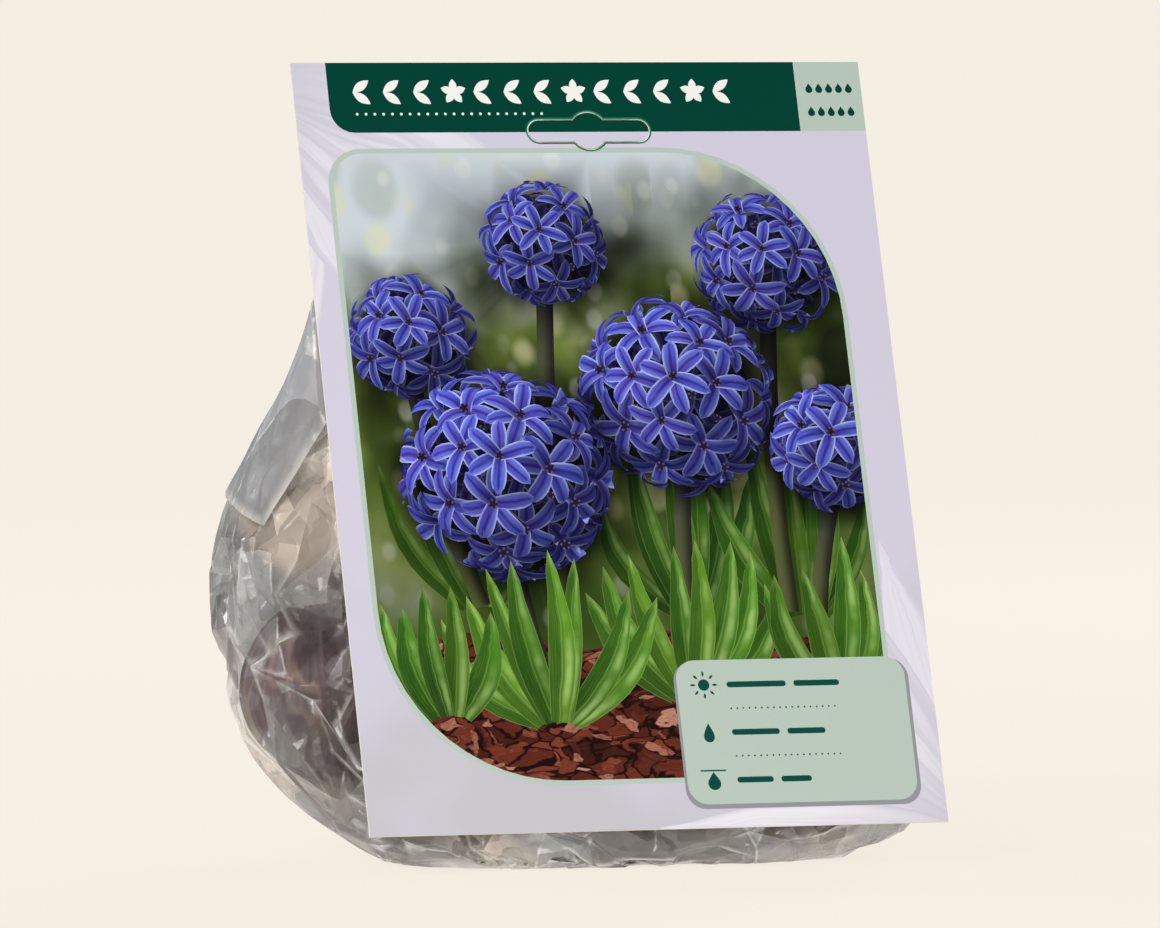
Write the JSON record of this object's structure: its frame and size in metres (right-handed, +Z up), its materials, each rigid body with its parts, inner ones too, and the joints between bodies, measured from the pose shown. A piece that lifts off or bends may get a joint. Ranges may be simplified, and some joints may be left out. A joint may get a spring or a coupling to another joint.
{
  "type": "flower bulb pack",
  "caption": "Retail pack of loose flower bulbs: a printed board card with a die-cut hang slot, leaning back on a crinkled clear film bag that is taped behind it.",
  "frame": {"origin": "on the surface that the pack stands on, under the middle of its box", "axes": "+Z up, -Y the way the printed card faces, +X to the right of someone who reads the card"},
  "size_m": [0.1762, 0.117, 0.1985],
  "materials": {
    "printed_board": "printed folding board, satin varnish on the front, bare white back",
    "adhesive_tape": "pale double-sided tape",
    "clear_film": "clear crinkled film with a grey cast, glossy",
    "bulb_skin": "papery purple-brown tunic with fine veins along it"
  },
  "bodies": {
    "root": {"card": "printed_board", "slot_tab": "printed_board", "tape_upper": "adhesive_tape", "tape_lower": "adhesive_tape", "film_bag": "clear_film", "bulb_01": "bulb_skin", "bulb_02": "bulb_skin", "bulb_03": "bulb_skin", "bulb_04": "bulb_skin", "bulb_05": "bulb_skin", "bulb_06": "bulb_skin", "bulb_07": "bulb_skin", "bulb_08": "bulb_skin", "bulb_09": "bulb_skin", "bulb_10": "bulb_skin"}
  },
  "joints": []
}
